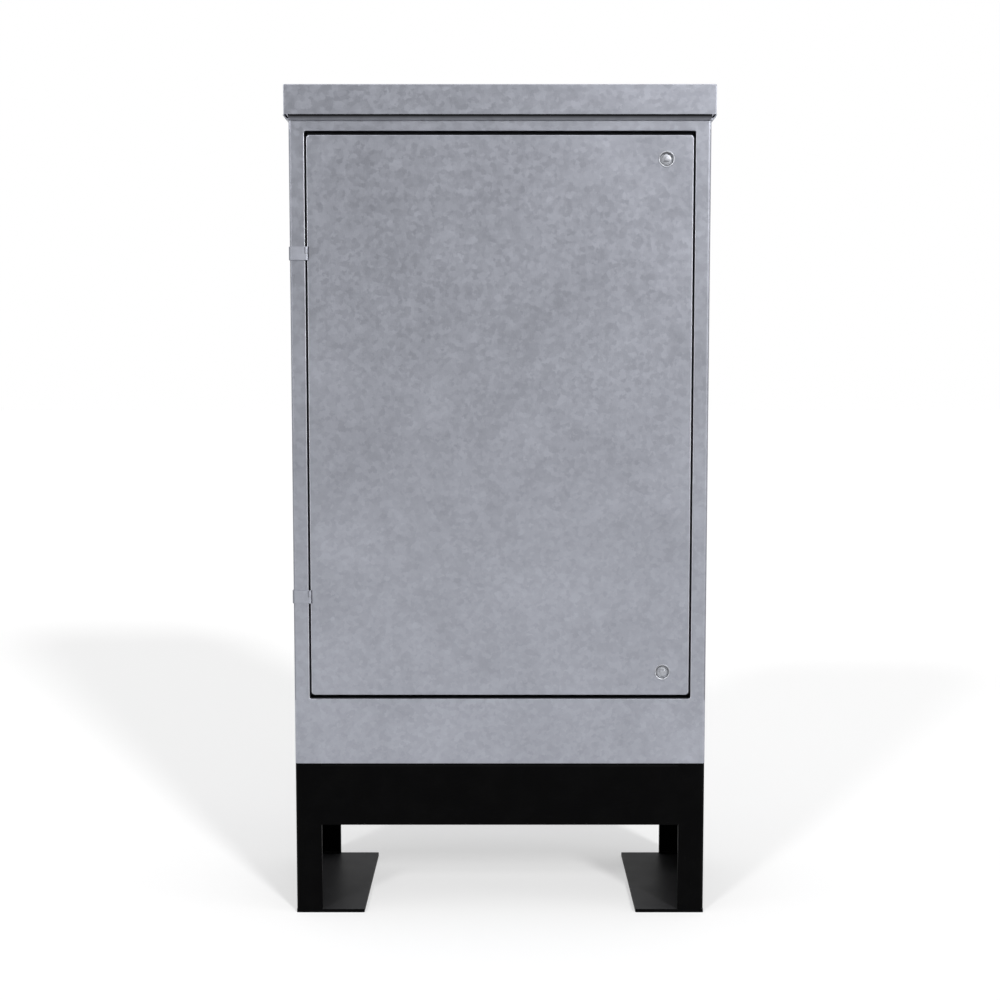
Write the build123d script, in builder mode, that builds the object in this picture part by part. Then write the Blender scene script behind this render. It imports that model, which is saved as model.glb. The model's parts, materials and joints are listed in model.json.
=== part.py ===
from build123d import *
import os

# Feeder pillar in millimetres. The origin is on the ground under the middle of the
# cabinet, +Z is up, and the door faces -Y.

# Overall
body_width = 600.0
body_depth = 270.0
overall_height = 1200.0

# Body and door sheet
sheet = 3.0
bend_inner = 1.0
weld_angle_leg = 40.0
corner_relief = 5.0

# Door opening: frame widths seen from the front, and the corner left by the welder
jamb_width = 22.0
sill_height = 96.0
header_height = 64.0
opening_corner = 3.0
opening_edge = 1.0
stop_width = 18.0

# Door
door_side_gap = 3.0
door_end_gap = 5.5
door_depth = 20.0
door_lip = 12.0
door_corner = 5.0
door_edge = 1.5
lip_mitre = 1.0
stiffener_width = 40.0
stiffener_rise = 14.0
stiffener_flange = 15.0
stiffener_sheet = 2.0
stiffener_end = 45.0

# Seal strip between the door's rear lips and the stop frame
seal_width = 10.0
seal_thickness = 3.7
seal_clearance = 0.3

# Roof cap
roof_sheet = 2.5
roof_corner = 1.6
roof_edge = 1.2
roof_overhang = 6.0
fascia_height = 42.0
drip_drop = 7.0
drip_proud = 1.5
drip_inset = 3.2
drip_sheet = 2.5
drip_slit = 4.5
drip_setback = 6.5

# Root
root_height = 224.0
root_plate = 5.0
root_bend_inner = 1.0
leg_flange = 38.0
foot_width = 100.0
foot_corner = 2.0
apron_height = 92.0
apron_flange = 40.0

# Back panel tray
back_side_flange = 20.0

# Backboard and its rails
board_side_gap = 50.0
board_end_inset = 28.0
board_thickness = 18.0
board_edge = 1.0
board_hole_inset = 40.0
rail_end_gap = 27.0
rail_height = 60.0
rail_rise = 25.0
rail_flange = 15.0
rail_sheet = 2.5
rail_inset = 100.0

# Hinges
hinge_height = 19.0
hinge_leaf = 1.5
hinge_wrap = 40.0
hinge_pin_radius = 1.5
hinge_door_leaf = 36.0
hinge_relief = 0.6
hinge_door_relief = 1.4
hinge_running_fit = 0.05
hinge_slot_clearance = 0.15
hinge_washer = 0.8
hinge_axial_play = 0.1
hinge_curl_slit = 0.3
upper_hinge_drop = 166.5
lower_hinge_rise = 144.5

# Quarter-turn locks
lock_side_inset = 38.5
lock_end_inset = 34.0
lock_rim_radius = 11.5
lock_rim_proud = 1.0
lock_rim_land = 0.5
lock_mouth_radius = 9.3
lock_dish_radius = 8.8
lock_dish_depth = 3.5
lock_body_radius = 10.0
lock_flat_half = 9.0
lock_hole_clearance = 0.2
lock_head_radius = 7.4
lock_head_thickness = 3.0
lock_stem_radius = 6.0
lock_running_fit = 0.06
lock_triangle_corner = 5.0
lock_triangle_rise = 2.8
lock_square = 7.0
lock_nut_across = 26.0
lock_nut_thickness = 5.0
cam_width = 20.0
cam_reach = 33.0
cam_thickness = 3.0
cam_corner = 4.0
cam_stop_clearance = 0.5
cam_housing_clearance = 0.3
cam_square_short = 0.2

# Fasteners: shank radius, clearance hole radius, across flats, head or nut height
fixing_inset = 25.0
root_bolt_inset = 120.0
root_bolt = {"shank": 5.0, "hole": 5.5, "across": 16.0, "head": 6.4, "nut": 8.0}
root_bolt_length = 30.0
root_washer_outer = 10.0
root_washer_thick = 2.0
roof_stud_inset = 100.0
roof_stud = {"shank": 4.0, "hole": 4.5, "across": 13.0, "nut": 6.5}
roof_stud_length = 18.0
roof_washer_outer = 8.0
roof_washer_thick = 1.6
board_bolt = {"shank": 4.0, "hole": 4.5, "across": 13.0, "head": 5.3, "nut": 6.5}
board_bolt_length = 35.0
board_washer_outer = 12.0
board_washer_thick = 2.0
cam_screw = {"shank": 2.5, "across": 8.0, "head": 3.5}
cam_screw_length = 12.0
cam_washer_outer = 7.0
cam_washer_thick = 1.0
earth_stud = {"shank": 4.0, "across": 13.0, "nut": 6.5}
earth_stud_length = 26.0
earth_stud_height = 70.0
earth_washer_outer = 8.0
earth_washer_thick = 1.6
earth_lug_space = 3.0
door_stud_inset = 70.0
head_chamfer = 0.6

# Worked out from the sizes above
half_width = body_width / 2
half_depth = body_depth / 2
bend_outer = bend_inner + sheet
root_bend = root_bend_inner + root_plate
shell_top = overall_height - roof_sheet
shell_height = shell_top - root_height
opening_width = body_width - 2 * jamb_width
opening_bottom = root_height + sill_height
opening_top = overall_height - header_height
opening_height = opening_top - opening_bottom
opening_mid = (opening_bottom + opening_top) / 2
opening_return = door_depth + seal_clearance + seal_thickness
door_width = opening_width - 2 * door_side_gap
door_height = opening_height - 2 * door_end_gap
door_top = opening_top - door_end_gap
door_bottom = opening_bottom + door_end_gap
back_width = body_width - 2 * sheet
angle_length = back_width - 2 * corner_relief
rail_length = back_width - 2 * rail_end_gap
board_width = body_width - 2 * board_side_gap
board_height = opening_height - 2 * board_end_inset
fixing_y = half_depth - fixing_inset
fascia_bottom = overall_height - fascia_height
inner_front = -half_depth + sheet
board_back = half_depth - sheet - rail_rise
board_front = board_back - board_thickness
rail_heights = {
    "back_rail_upper": opening_mid + board_height / 2 - rail_inset,
    "back_rail_lower": opening_mid - board_height / 2 + rail_inset,
}
board_hole_x = board_width / 2 - board_hole_inset

# Every hinge turns about one line in the left gap; the strap lies on the front sheet and
# is tangent to the pin
hinge_x = -(opening_width + door_width) / 4
hinge_y = -half_depth + hinge_pin_radius
knuckle_radius = hinge_pin_radius + hinge_leaf
relief_radius = knuckle_radius + hinge_relief
door_relief_radius = knuckle_radius + hinge_door_relief
hinge_heights = {"upper": door_top - upper_hinge_drop, "lower": door_bottom + lower_hinge_rise}

lock_x = door_width / 2 - lock_side_inset
lock_heights = {"upper": door_top - lock_end_inset, "lower": door_bottom + lock_end_inset}
lock_floor = -half_depth - lock_rim_proud + lock_dish_depth
cam_front = -half_depth + opening_return + sheet + cam_stop_clearance
housing_back = cam_front - cam_housing_clearance

front_plane = Plane.XZ.offset(half_depth)
root_bolt_x = half_width - root_bolt_inset
roof_stud_x = half_width - roof_stud_inset
root_bolt_xy = [(x * root_bolt_x, y * fixing_y) for x in (-1, 1) for y in (-1, 1)]
roof_stud_xy = [(x * roof_stud_x, y * fixing_y) for x in (-1, 1) for y in (-1, 1)]
board_hole_xz = [(x * board_hole_x, z) for x in (-1, 1) for z in rail_heights.values()]

os.makedirs("parts", exist_ok=True)


def save(piece, name):
    piece.label = name
    export_step(piece, f"parts/{name}.step")


# Root: two folded legs, each on its own foot plate

for side_name, side in (("left", -1), ("right", 1)):
    outer_x = side * half_width
    flange_x = side * (half_width - leg_flange)

    with BuildPart() as root_leg:
        with BuildSketch(Plane.XY.offset(root_plate)):
            with BuildLine():
                FilletPolyline(
                    (flange_x, half_depth),
                    (outer_x, half_depth),
                    (outer_x, -half_depth),
                    (flange_x, -half_depth),
                    radius=root_bend,
                )
                offset(amount=root_plate, side=Side.LEFT if side < 0 else Side.RIGHT)
            make_face()
        extrude(amount=root_height - root_plate)
    save(root_leg.part, f"root_leg_{side_name}")

    with BuildPart() as foot_plate:
        with BuildSketch():
            with Locations((side * (half_width - foot_width / 2), 0)):
                RectangleRounded(foot_width, body_depth, foot_corner)
        extrude(amount=root_plate)
    save(foot_plate.part, f"foot_plate_{side_name}")

# Root: aprons between the legs, each with a folded top flange for the body's bolts

for apron_name, face in (("front", -1), ("rear", 1)):
    with BuildPart() as root_apron:
        with BuildSketch(Plane.YZ.offset(-(half_width - leg_flange))):
            with BuildLine():
                FilletPolyline(
                    (face * half_depth, root_height - apron_height),
                    (face * half_depth, root_height),
                    (face * (half_depth - apron_flange), root_height),
                    radius=root_bend,
                )
                offset(amount=root_plate, side=Side.RIGHT if face < 0 else Side.LEFT)
            make_face()
        extrude(amount=body_width - 2 * leg_flange)
        with Locations(*[(x, y, root_height) for x, y in root_bolt_xy if y * face > 0]):
            Hole(radius=root_bolt["hole"], depth=root_plate)
    save(root_apron.part, f"root_apron_{apron_name}")

# Body: front sheet and both side sheets folded from one piece, with the door opening's
# edges turned in all round

with BuildPart() as front_shell:
    with BuildSketch(Plane.XY.offset(root_height)):
        with BuildLine():
            FilletPolyline(
                (-half_width, half_depth),
                (-half_width, -half_depth),
                (half_width, -half_depth),
                (half_width, half_depth),
                radius=bend_outer,
            )
            offset(amount=sheet, side=Side.LEFT)
        make_face()
    extrude(amount=shell_height)
    with BuildSketch(front_plane):
        with Locations((0, opening_mid)):
            RectangleRounded(
                opening_width + 2 * sheet, opening_height + 2 * sheet, opening_corner + sheet
            )
    extrude(amount=-opening_return)
    with BuildSketch(front_plane):
        with Locations((0, opening_mid)):
            RectangleRounded(opening_width, opening_height, opening_corner)
    extrude(amount=-opening_return, mode=Mode.SUBTRACT)
    # the opening's edges and the door's are welded corners, dressed to a small radius
    front_face = front_shell.faces().filter_by(Axis.Y).sort_by(Axis.Y)[0]
    fillet(front_face.inner_wires()[0].edges(), radius=opening_edge)
    inside_face = front_shell.faces().filter_by(Axis.Y).group_by(Axis.Y)[1][0]
    fillet(inside_face.inner_wires()[0].edges(), radius=bend_inner)
    # relief round each hinge's knuckle
    for height in hinge_heights.values():
        with Locations((hinge_x, hinge_y, height)):
            Cylinder(relief_radius, hinge_height, mode=Mode.SUBTRACT)
save(front_shell.part, "front_shell")

with BuildPart() as stop_frame:
    with BuildSketch(front_plane.offset(-opening_return)):
        with Locations((0, opening_mid)):
            RectangleRounded(
                opening_width + 2 * sheet, opening_height + 2 * sheet, opening_corner + sheet
            )
            Rectangle(
                opening_width - 2 * stop_width,
                opening_height - 2 * stop_width,
                mode=Mode.SUBTRACT,
            )
    extrude(amount=-sheet)
save(stop_frame.part, "stop_frame")

with BuildPart() as door_seal:
    seal_width_x = door_width - door_lip + seal_width
    seal_height_z = door_height - door_lip + seal_width
    with BuildSketch(front_plane.offset(-opening_return)):
        with Locations((0, opening_mid)):
            RectangleRounded(seal_width_x, seal_height_z, seal_width / 2)
            Rectangle(
                seal_width_x - 2 * seal_width, seal_height_z - 2 * seal_width, mode=Mode.SUBTRACT
            )
    extrude(amount=seal_thickness)
save(door_seal.part, "door_seal")

# Body: back panel, a tray that stands between the side sheets

with BuildPart() as back_panel:
    with BuildSketch(Plane.XY.offset(root_height + corner_relief)):
        with BuildLine():
            FilletPolyline(
                (-back_width / 2, half_depth - back_side_flange),
                (-back_width / 2, half_depth),
                (back_width / 2, half_depth),
                (back_width / 2, half_depth - back_side_flange),
                radius=bend_outer,
            )
            offset(amount=sheet, side=Side.RIGHT)
        make_face()
    extrude(amount=shell_height - 2 * corner_relief)
    with BuildSketch(Plane.YZ.offset(-back_width / 2 + corner_relief)):
        with BuildLine():
            FilletPolyline(
                (half_depth - weld_angle_leg, root_height),
                (half_depth, root_height),
                (half_depth, shell_top),
                (half_depth - weld_angle_leg, shell_top),
                radius=bend_outer,
            )
            offset(amount=sheet, side=Side.LEFT)
        make_face()
    extrude(amount=back_width - 2 * corner_relief)
    with Locations(*[(x, y, shell_top) for x, y in roof_stud_xy if y > 0]):
        Hole(radius=roof_stud["hole"], depth=sheet)
    with Locations(*[(x, y, root_height + sheet) for x, y in root_bolt_xy if y > 0]):
        Hole(radius=root_bolt["hole"], depth=sheet)
save(back_panel.part, "back_panel")

# Body: angles welded behind the front sheet, one on the root and one under the roof

with BuildPart() as base_angle:
    with BuildSketch(Plane.YZ.offset(-angle_length / 2)):
        with BuildLine():
            FilletPolyline(
                (inner_front, root_height + weld_angle_leg),
                (inner_front, root_height),
                (inner_front + weld_angle_leg, root_height),
                radius=bend_outer,
            )
            offset(amount=sheet, side=Side.LEFT)
        make_face()
    extrude(amount=angle_length)
    with Locations(*[(x, y, root_height + sheet) for x, y in root_bolt_xy if y < 0]):
        Hole(radius=root_bolt["hole"], depth=sheet)
save(base_angle.part, "base_angle")

with BuildPart() as roof_angle:
    with BuildSketch(Plane.YZ.offset(-angle_length / 2)):
        with BuildLine():
            FilletPolyline(
                (inner_front, shell_top - weld_angle_leg),
                (inner_front, shell_top),
                (inner_front + weld_angle_leg, shell_top),
                radius=bend_outer,
            )
            offset(amount=sheet, side=Side.RIGHT)
        make_face()
    extrude(amount=angle_length)
    with Locations(*[(x, y, shell_top) for x, y in roof_stud_xy if y < 0]):
        Hole(radius=roof_stud["hole"], depth=sheet)
save(roof_angle.part, "roof_angle")

# Roof cap: a tray turned down all round, its bottom edge bent in as a drip lip with open
# corners

roof_width = body_width + 2 * roof_overhang
roof_depth = body_depth + 2 * roof_overhang

with BuildPart() as roof_cap:
    with BuildSketch(Plane.XY.offset(fascia_bottom)):
        RectangleRounded(roof_width, roof_depth, roof_corner)
    extrude(amount=fascia_height)
    fillet(roof_cap.faces().sort_by(Axis.Z)[-1].outer_wire().edges(), radius=roof_edge)
    with BuildSketch(Plane.XY.offset(fascia_bottom)):
        Rectangle(roof_width - 2 * roof_sheet, roof_depth - 2 * roof_sheet)
    extrude(amount=fascia_height - roof_sheet, mode=Mode.SUBTRACT)
    # the drip lip is the wall between two tapered blocks
    for wall, mode in ((0, Mode.ADD), (drip_sheet, Mode.SUBTRACT)):
        top_inset = wall - drip_proud
        end_inset = wall + drip_inset
        with BuildSketch(Plane.XY.offset(fascia_bottom)):
            Rectangle(roof_width - 2 * top_inset, roof_depth - 2 * top_inset)
        with BuildSketch(Plane.XY.offset(fascia_bottom - drip_drop)):
            Rectangle(roof_width - 2 * end_inset, roof_depth - 2 * end_inset)
        loft(mode=mode)
    # at each corner the side lip starts behind the front lip's mitred end
    outer_x = roof_width / 2 + drip_sheet
    outer_y = roof_depth / 2 + drip_sheet
    slit_x = roof_width / 2 + drip_proud - drip_slit
    for x in (-1, 1):
        for y in (-1, 1):
            with BuildSketch(Plane.XY.offset(fascia_bottom)):
                with BuildLine():
                    Polyline(
                        (x * outer_x, y * outer_y),
                        (x * slit_x, y * outer_y),
                        (x * (slit_x - drip_setback), y * (outer_y - drip_setback)),
                        (x * outer_x, y * (outer_y - drip_setback)),
                        close=True,
                    )
                make_face()
            extrude(amount=-drip_drop, mode=Mode.SUBTRACT)
save(roof_cap.part, "roof_cap")

# Fasteners between root, body and roof, each kind as a group of separate pieces

with BuildPart() as root_bolts:
    head_z = root_height + sheet + root_washer_thick
    with BuildSketch(Plane.XY.offset(head_z)):
        with Locations(*root_bolt_xy):
            RegularPolygon(root_bolt["across"] / 2, 6, major_radius=False)
    extrude(amount=root_bolt["head"])
    chamfer(root_bolts.faces().sort_by(Axis.Z)[-4:].edges(), length=head_chamfer)
    with BuildSketch(Plane.XY.offset(head_z)):
        with Locations(*root_bolt_xy):
            Circle(root_bolt["shank"])
    extrude(amount=-root_bolt_length)
save(root_bolts.part, "root_bolts")

with BuildPart() as root_washers:
    for washer_z in (root_height + sheet, root_height - root_plate - root_washer_thick):
        with BuildSketch(Plane.XY.offset(washer_z)):
            with Locations(*root_bolt_xy):
                Circle(root_washer_outer)
                Circle(root_bolt["hole"], mode=Mode.SUBTRACT)
        extrude(amount=root_washer_thick)
save(root_washers.part, "root_washers")

with BuildPart() as root_nuts:
    with BuildSketch(Plane.XY.offset(root_height - root_plate - root_washer_thick)):
        with Locations(*root_bolt_xy):
            RegularPolygon(root_bolt["across"] / 2, 6, major_radius=False)
            Circle(root_bolt["shank"], mode=Mode.SUBTRACT)
    extrude(amount=-root_bolt["nut"])
save(root_nuts.part, "root_nuts")

with BuildPart() as roof_studs:
    with BuildSketch(Plane.XY.offset(shell_top)):
        with Locations(*roof_stud_xy):
            Circle(roof_stud["shank"])
    extrude(amount=-roof_stud_length)
    chamfer(roof_studs.faces().sort_by(Axis.Z)[:4].edges(), length=head_chamfer)
save(roof_studs.part, "roof_studs")

with BuildPart() as roof_washers:
    with BuildSketch(Plane.XY.offset(shell_top - sheet)):
        with Locations(*roof_stud_xy):
            Circle(roof_washer_outer)
            Circle(roof_stud["hole"], mode=Mode.SUBTRACT)
    extrude(amount=-roof_washer_thick)
save(roof_washers.part, "roof_washers")

with BuildPart() as roof_nuts:
    with BuildSketch(Plane.XY.offset(shell_top - sheet - roof_washer_thick)):
        with Locations(*roof_stud_xy):
            RegularPolygon(roof_stud["across"] / 2, 6, major_radius=False)
            Circle(roof_stud["shank"], mode=Mode.SUBTRACT)
    extrude(amount=-roof_stud["nut"])
save(roof_nuts.part, "roof_nuts")

# Backboard on two hat-shaped rails

for rail_name, height in rail_heights.items():
    with BuildPart() as back_rail:
        wall_y = half_depth - sheet
        web_y = board_back + rail_sheet
        outer_bend = rail_sheet + bend_inner
        leg_z = rail_height / 2 - rail_sheet
        with BuildSketch(Plane.YZ.offset(-rail_length / 2)):
            with BuildLine():
                FilletPolyline(
                    (wall_y, height - rail_height / 2 - rail_flange),
                    (wall_y, height - leg_z),
                    (web_y, height - leg_z),
                    (web_y, height + leg_z),
                    (wall_y, height + leg_z),
                    (wall_y, height + rail_height / 2 + rail_flange),
                    radius=[outer_bend, bend_inner, bend_inner, outer_bend],
                )
                offset(amount=rail_sheet, side=Side.LEFT)
            make_face()
        extrude(amount=rail_length)
        with BuildSketch(Plane.XZ.offset(-board_back)):
            with Locations(*[(x, z) for x, z in board_hole_xz if z == height]):
                Circle(board_bolt["hole"])
        extrude(amount=-rail_sheet, mode=Mode.SUBTRACT)
    save(back_rail.part, rail_name)

with BuildPart() as backboard:
    with BuildSketch(Plane.XZ.offset(-board_front)):
        with Locations((0, opening_mid)):
            Rectangle(board_width, board_height)
        with Locations(*board_hole_xz):
            Circle(board_bolt["hole"], mode=Mode.SUBTRACT)
    extrude(amount=-board_thickness)
    chamfer(backboard.faces().sort_by(Axis.Y)[0].outer_wire().edges(), length=board_edge)
save(backboard.part, "backboard")

with BuildPart() as backboard_washers:
    with BuildSketch(Plane.XZ.offset(-board_front)):
        with Locations(*board_hole_xz):
            Circle(board_washer_outer)
            Circle(board_bolt["hole"], mode=Mode.SUBTRACT)
    extrude(amount=board_washer_thick)
save(backboard_washers.part, "backboard_washers")

with BuildPart() as backboard_bolts:
    head_plane = Plane.XZ.offset(-board_front + board_washer_thick)
    with BuildSketch(head_plane):
        with Locations(*board_hole_xz):
            RegularPolygon(board_bolt["across"] / 2, 6, major_radius=False)
    extrude(amount=board_bolt["head"])
    chamfer(backboard_bolts.faces().sort_by(Axis.Y)[:4].edges(), length=head_chamfer)
    with BuildSketch(head_plane):
        with Locations(*board_hole_xz):
            Circle(board_bolt["shank"])
    extrude(amount=-board_bolt_length)
save(backboard_bolts.part, "backboard_bolts")

# weld nuts inside the rails
with BuildPart() as backboard_nuts:
    with BuildSketch(Plane.XZ.offset(-board_back - rail_sheet)):
        with Locations(*board_hole_xz):
            RegularPolygon(board_bolt["across"] / 2, 6, major_radius=False)
            Circle(board_bolt["shank"], mode=Mode.SUBTRACT)
    extrude(amount=-board_bolt["nut"])
save(backboard_nuts.part, "backboard_nuts")

# Door: a folded pan with mitred rear lips, holed for the locks and slotted for the hinges

with BuildPart() as door_hollow:
    with BuildSketch(front_plane.offset(-sheet)):
        with Locations((0, opening_mid)):
            RectangleRounded(door_width - 2 * sheet, door_height - 2 * sheet, door_corner - sheet)
    extrude(amount=2 * sheet - door_depth)
    for end in (0, -1):
        hollow_face = door_hollow.faces().filter_by(Axis.Y).sort_by(Axis.Y)[end]
        fillet(hollow_face.outer_wire().edges(), radius=bend_inner)

with BuildPart() as door_panel:
    with BuildSketch(front_plane):
        with Locations((0, opening_mid)):
            RectangleRounded(door_width, door_height, door_corner)
    extrude(amount=-door_depth)
    for end in (0, -1):
        outer_face = door_panel.faces().filter_by(Axis.Y).sort_by(Axis.Y)[end]
        fillet(outer_face.outer_wire().edges(), radius=door_edge)
    add(door_hollow.part, mode=Mode.SUBTRACT)
    # mouth between the rear lips, and a mitre slit at each corner
    with BuildSketch(front_plane.offset(-door_depth)):
        with Locations((0, opening_mid)):
            Rectangle(door_width - 2 * door_lip, door_height - 2 * door_lip)
        for x in (-1, 1):
            for z in (-1, 1):
                with Locations(
                    (x * (door_width / 2 - door_lip), opening_mid + z * (door_height / 2 - door_lip))
                ):
                    Rectangle(door_lip, lip_mitre, rotation=45 * x * z)
    extrude(amount=sheet, mode=Mode.SUBTRACT)
    # round holes with two flats, so that the lock bodies can't turn
    with BuildSketch(front_plane):
        with Locations(*[(lock_x, height) for height in lock_heights.values()]):
            Circle(lock_body_radius + lock_hole_clearance)
            Rectangle(
                2 * (lock_flat_half + lock_hole_clearance), lock_nut_across, mode=Mode.INTERSECT
            )
    extrude(amount=-sheet, mode=Mode.SUBTRACT)
    for height in hinge_heights.values():
        with Locations((hinge_x, hinge_y, height)):
            Cylinder(door_relief_radius, hinge_height + 2 * hinge_slot_clearance, mode=Mode.SUBTRACT)
        with Locations((-door_width / 2, inner_front, height)):
            Box(
                sheet + bend_inner,
                hinge_leaf,
                hinge_height + 2 * hinge_slot_clearance,
                align=(Align.MIN, Align.MIN, Align.CENTER),
                mode=Mode.SUBTRACT,
            )
save(door_panel.part, "door_panel")

with BuildPart() as door_stiffener:
    web_y = inner_front + stiffener_rise - stiffener_sheet
    leg_x = stiffener_width / 2 - stiffener_sheet
    outer_bend = stiffener_sheet + bend_inner
    with BuildSketch(Plane.XY.offset(door_bottom + stiffener_end)):
        with BuildLine():
            FilletPolyline(
                (-stiffener_width / 2 - stiffener_flange, inner_front),
                (-leg_x, inner_front),
                (-leg_x, web_y),
                (leg_x, web_y),
                (leg_x, inner_front),
                (stiffener_width / 2 + stiffener_flange, inner_front),
                radius=[outer_bend, bend_inner, bend_inner, outer_bend],
            )
            offset(amount=stiffener_sheet, side=Side.LEFT)
        make_face()
    extrude(amount=door_height - 2 * stiffener_end)
save(door_stiffener.part, "door_stiffener")

# Hinges: on each, a strap curls round the pin at its lower half and a leaf through the
# door's edge curls round it at its upper half

for hinge_name, height in hinge_heights.items():
    strap_bottom = height - hinge_height / 2
    strap_top = height + hinge_height / 2
    lower_knuckle_top = height - hinge_washer / 2
    upper_knuckle_bottom = height + hinge_washer / 2 + hinge_axial_play

    with BuildPart() as hinge_strap:
        with BuildSketch(Plane.XY.offset(strap_bottom)):
            with BuildLine():
                FilletPolyline(
                    (-half_width, -half_depth + hinge_wrap),
                    (-half_width, -half_depth),
                    (hinge_x, -half_depth),
                    radius=bend_outer,
                )
                offset(amount=hinge_leaf, side=Side.RIGHT)
            make_face()
        extrude(amount=hinge_height)
        with BuildSketch(Plane.XY.offset(lower_knuckle_top)):
            with Locations((hinge_x, hinge_y)):
                Circle(relief_radius)
        extrude(amount=hinge_height, mode=Mode.SUBTRACT)
        with BuildSketch(Plane.XY.offset(strap_bottom)):
            with Locations((hinge_x, hinge_y)):
                Circle(knuckle_radius)
        extrude(amount=lower_knuckle_top - strap_bottom)
        with BuildSketch(Plane.XY.offset(strap_bottom)):
            with Locations((hinge_x, hinge_y)):
                Circle(hinge_pin_radius)
            with Locations((hinge_x - knuckle_radius, -half_depth)):
                Rectangle(2 * hinge_leaf, hinge_curl_slit, align=(Align.MIN, Align.MIN))
        extrude(amount=hinge_height, mode=Mode.SUBTRACT)
    save(hinge_strap.part, f"hinge_strap_{hinge_name}")

    with BuildPart() as hinge_pin:
        with BuildSketch(Plane.XY.offset(strap_bottom)):
            with Locations((hinge_x, hinge_y)):
                Circle(hinge_pin_radius)
        extrude(amount=hinge_height)
    save(hinge_pin.part, f"hinge_pin_{hinge_name}")

    with BuildPart() as hinge_spacer:
        with BuildSketch(Plane.XY.offset(lower_knuckle_top)):
            with Locations((hinge_x, hinge_y)):
                Circle(knuckle_radius)
                Circle(hinge_pin_radius + hinge_running_fit, mode=Mode.SUBTRACT)
        extrude(amount=hinge_washer)
    save(hinge_spacer.part, f"hinge_washer_{hinge_name}")

    with BuildPart() as hinge_leaf_plate:
        with BuildSketch(Plane.XY.offset(strap_bottom)):
            with Locations((hinge_x, inner_front)):
                Rectangle(hinge_door_leaf, hinge_leaf, align=(Align.MIN, Align.MIN))
        extrude(amount=hinge_height)
        with BuildSketch(Plane.XY.offset(strap_bottom)):
            with Locations((hinge_x, hinge_y)):
                Circle(relief_radius)
        extrude(amount=upper_knuckle_bottom - strap_bottom, mode=Mode.SUBTRACT)
        with BuildSketch(Plane.XY.offset(upper_knuckle_bottom)):
            with Locations((hinge_x, hinge_y)):
                Circle(knuckle_radius)
        extrude(amount=strap_top - upper_knuckle_bottom)
        with BuildSketch(Plane.XY.offset(upper_knuckle_bottom)):
            with Locations((hinge_x, hinge_y)):
                Circle(hinge_pin_radius + hinge_running_fit)
            with Locations((hinge_x + knuckle_radius, inner_front)):
                Rectangle(2 * hinge_leaf, hinge_curl_slit, align=(Align.MAX, Align.MAX))
        extrude(amount=hinge_height, mode=Mode.SUBTRACT)
    save(hinge_leaf_plate.part, f"hinge_leaf_{hinge_name}")

# Locks: a dished body held by a nut, and an insert with a triangular head that turns a cam
# behind the stop frame

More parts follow.
